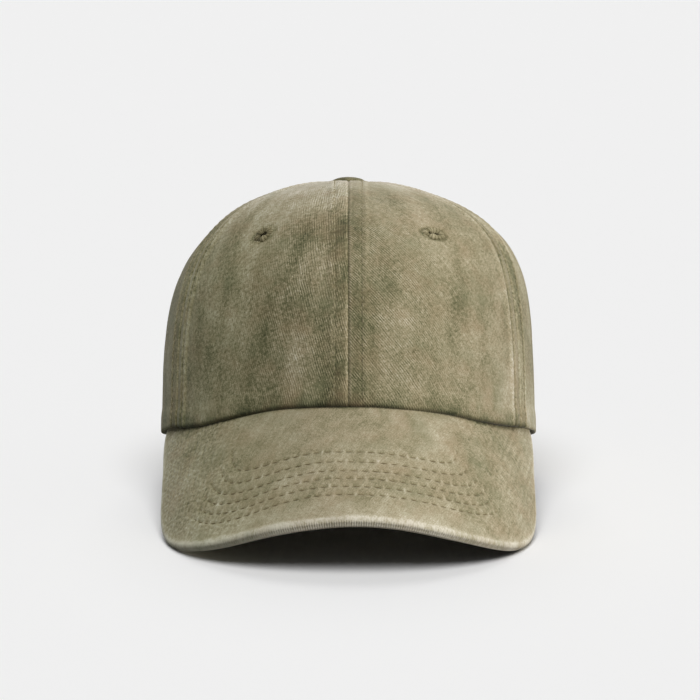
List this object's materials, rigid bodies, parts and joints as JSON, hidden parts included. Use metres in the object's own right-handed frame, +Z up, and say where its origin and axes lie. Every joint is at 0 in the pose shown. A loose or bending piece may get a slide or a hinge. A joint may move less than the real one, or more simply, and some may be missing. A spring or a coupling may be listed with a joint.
{
  "type": "baseball cap",
  "caption": "Unstructured baseball cap of washed olive twill with a curved stitched visor, sewn eyelets, a covered top button and a strap closure with a flip-lever buckle.",
  "frame": {"origin": "on the table, under the middle of the standing cap's length and width", "axes": "+Z up from the table, the visor points to -Y, +X is the wearer's left"},
  "size_m": [0.1716, 0.2566, 0.1445],
  "materials": {
    "washed_twill": "matte washed cotton twill",
    "eyelet_thread": "dense cotton thread",
    "seam_tape": "plain woven cotton tape",
    "sweatband_cotton": "folded cotton twill",
    "twill_binding": "cotton binding",
    "visor_board": "bare sheet",
    "visor_under_twill": "cotton twill",
    "button_steel": "plain pressed steel",
    "antique_brass": "aged brass"
  },
  "bodies": {
    "cap": {"front_left_panel": "washed_twill", "front_right_panel": "washed_twill", "side_left_panel": "washed_twill", "side_right_panel": "washed_twill", "back_left_panel": "washed_twill", "back_right_panel": "washed_twill", "front_left_eyelet": "eyelet_thread", "front_right_eyelet": "eyelet_thread", "side_left_eyelet": "eyelet_thread", "side_right_eyelet": "eyelet_thread", "back_left_eyelet": "eyelet_thread", "back_right_eyelet": "eyelet_thread", "front_seam_tape": "seam_tape", "rear_seam_tape": "seam_tape", "front_left_seam_tape": "seam_tape", "front_right_seam_tape": "seam_tape", "back_left_seam_tape": "seam_tape", "back_right_seam_tape": "seam_tape", "sweatband": "sweatband_cotton", "arch_binding": "twill_binding", "visor_top_cover": "washed_twill", "visor_board": "visor_board", "visor_under_cover": "visor_under_twill", "crown_button_cover": "washed_twill", "crown_button_shell": "button_steel", "crown_button_stem": "button_steel", "crown_button_washer": "button_steel", "closure_strap": "washed_twill", "buckle_tab": "washed_twill", "buckle_frame": "antique_brass", "buckle_pin": "antique_brass"},
    "lever": {"buckle_lever": "antique_brass"}
  },
  "joints": [
    {"name": "lever_flip", "type": "hinge", "parent": "cap", "child": "lever", "pos_m": [-0.0058, 0.12168, 0.01569], "axis": [0, 0.3209, 0.9471], "range_deg": [0, 110]}
  ]
}
